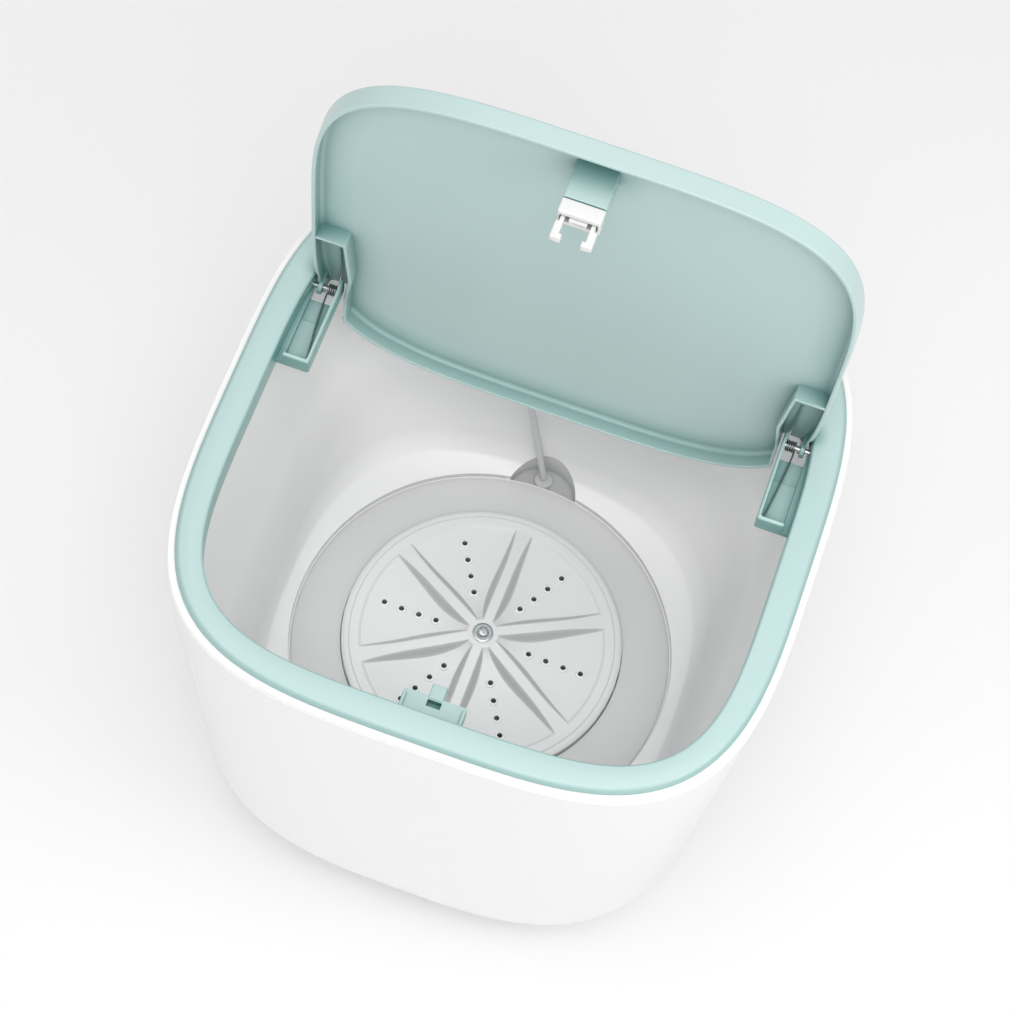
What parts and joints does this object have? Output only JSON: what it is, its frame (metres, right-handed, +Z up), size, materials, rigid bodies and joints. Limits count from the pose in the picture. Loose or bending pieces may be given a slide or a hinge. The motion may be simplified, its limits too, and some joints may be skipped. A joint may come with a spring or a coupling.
{
  "type": "portable mini washer",
  "caption": "Small top-loading washing machine with a tapered white housing, mint rim, sprung hinged lid with a touch latch, belt-driven pulsator and pull-rod drain.",
  "frame": {"origin": "middle of the footprint, on the floor under the feet", "axes": "+Z up, front faces -Y, the lid's hinge axis runs along X"},
  "size_m": [0.342, 0.342, 0.5556],
  "materials": {
    "black_plastic": "matt",
    "black_rubber": "matt rubber",
    "board_green": "solder mask",
    "hose_grey": "soft hose",
    "mint": "glossy moulded mint",
    "pale_plastic": "moulded satin",
    "pulley_plastic": "glass-filled nylon",
    "pulsator_grey": "semi-gloss moulded pale grey",
    "shell_white": "glossy moulded white",
    "steel": "zinc-plated, bright",
    "tub_white": "glossy moulded white"
  },
  "bodies": {
    "cabinet": {"outer_shell": "shell_white", "base_plate": "shell_white", "base_screw_1": "steel", "base_screw_2": "steel", "base_screw_3": "steel", "base_screw_4": "steel", "foot_1": "black_rubber", "foot_2": "black_rubber", "foot_3": "black_rubber", "foot_4": "black_rubber", "inner_tub": "tub_white", "top_ring": "mint", "hinge_pin_left": "steel", "hinge_pin_right": "steel", "hinge_spring_left": "steel", "hinge_spring_right": "steel", "bearing_upper": "steel", "bearing_lower": "steel", "shaft_seal": "black_rubber", "bearing_housing": "pale_plastic", "housing_screw_1": "steel", "housing_screw_2": "steel", "housing_screw_3": "steel", "drive_belt": "black_rubber", "motor_case": "steel", "motor_bracket": "pale_plastic", "drain_spigot": "shell_white", "drain_hose": "hose_grey", "drain_outlet": "shell_white", "rear_panel": "pale_plastic", "power_switch": "black_plastic", "power_inlet": "black_plastic", "control_board": "board_green"},
    "lid": {"lid_shell": "mint", "latch_body": "shell_white", "latch_spring": "steel", "latch_pin_left": "steel", "latch_pin_right": "steel", "spring_lid_leg_left": "steel", "spring_lid_leg_right": "steel"},
    "latch_plunger": {"latch_slider": "shell_white"},
    "jaw_left": {"latch_jaw_left": "shell_white"},
    "jaw_right": {"latch_jaw_right": "shell_white"},
    "agitator": {"pulsator": "pulsator_grey", "pulsator_washer": "steel", "pulsator_screw": "steel", "drive_shaft": "steel", "driven_pulley": "pulley_plastic", "pulley_nut": "steel"},
    "rotor": {"motor_shaft": "steel", "motor_pulley": "pulley_plastic"},
    "drain_valve": {"drain_rod": "shell_white", "drain_plug": "black_rubber"},
    "button": {"power_button": "mint"}
  },
  "joints": [
    {"name": "lid_hinge", "type": "hinge", "parent": "cabinet", "child": "lid", "pos_m": [0, 0.074, 0.3325], "axis": [-1, 0, 0], "range_deg": [-88.5, 0], "stiffness_Nm_per_rad": 0.12, "springref_deg": 34.38},
    {"name": "latch_push", "type": "slide", "parent": "lid", "child": "latch_plunger", "axis": [0, 0.9997, 0.0262], "range_m": [0, 0.004], "stiffness_N_per_m": 150, "springref_m": -0.002, "deforming": ["latch_spring"]},
    {"name": "jaw_left_pivot", "type": "hinge", "parent": "lid", "child": "jaw_left", "pos_m": [-0.008, 0.05182, 0.52999], "axis": [0, -0.0262, 0.9997], "range_deg": [0, 8]},
    {"name": "jaw_right_pivot", "type": "hinge", "parent": "lid", "child": "jaw_right", "pos_m": [0.008, 0.05182, 0.52999], "axis": [0, 0.0262, -0.9997], "range_deg": [0, 8]},
    {"name": "agitator_spin", "type": "hinge", "parent": "cabinet", "child": "agitator", "pos_m": [0, -0.025, 0.15], "axis": [0, 0, 1], "continuous": true},
    {"name": "rotor_spin", "type": "hinge", "parent": "cabinet", "child": "rotor", "pos_m": [0.078, 0.02, 0.09], "axis": [0, 0, 1], "continuous": true},
    {"name": "drain_pull", "type": "slide", "parent": "cabinet", "child": "drain_valve", "axis": [-0.2907, 0.2352, 0.9275], "range_m": [0, 0.005]},
    {"name": "button_press", "type": "slide", "parent": "cabinet", "child": "button", "axis": [0, -1, 0], "range_m": [0, 0.0025], "stiffness_N_per_m": 400, "springref_m": -0.001}
  ],
  "couplings": [
    {"joint": "jaw_left_pivot", "follows": "latch_push", "rad_per_m": 34.907},
    {"joint": "jaw_right_pivot", "follows": "latch_push", "rad_per_m": 34.907},
    {"joint": "rotor_spin", "follows": "agitator_spin", "ratio": 3.2727}
  ]
}
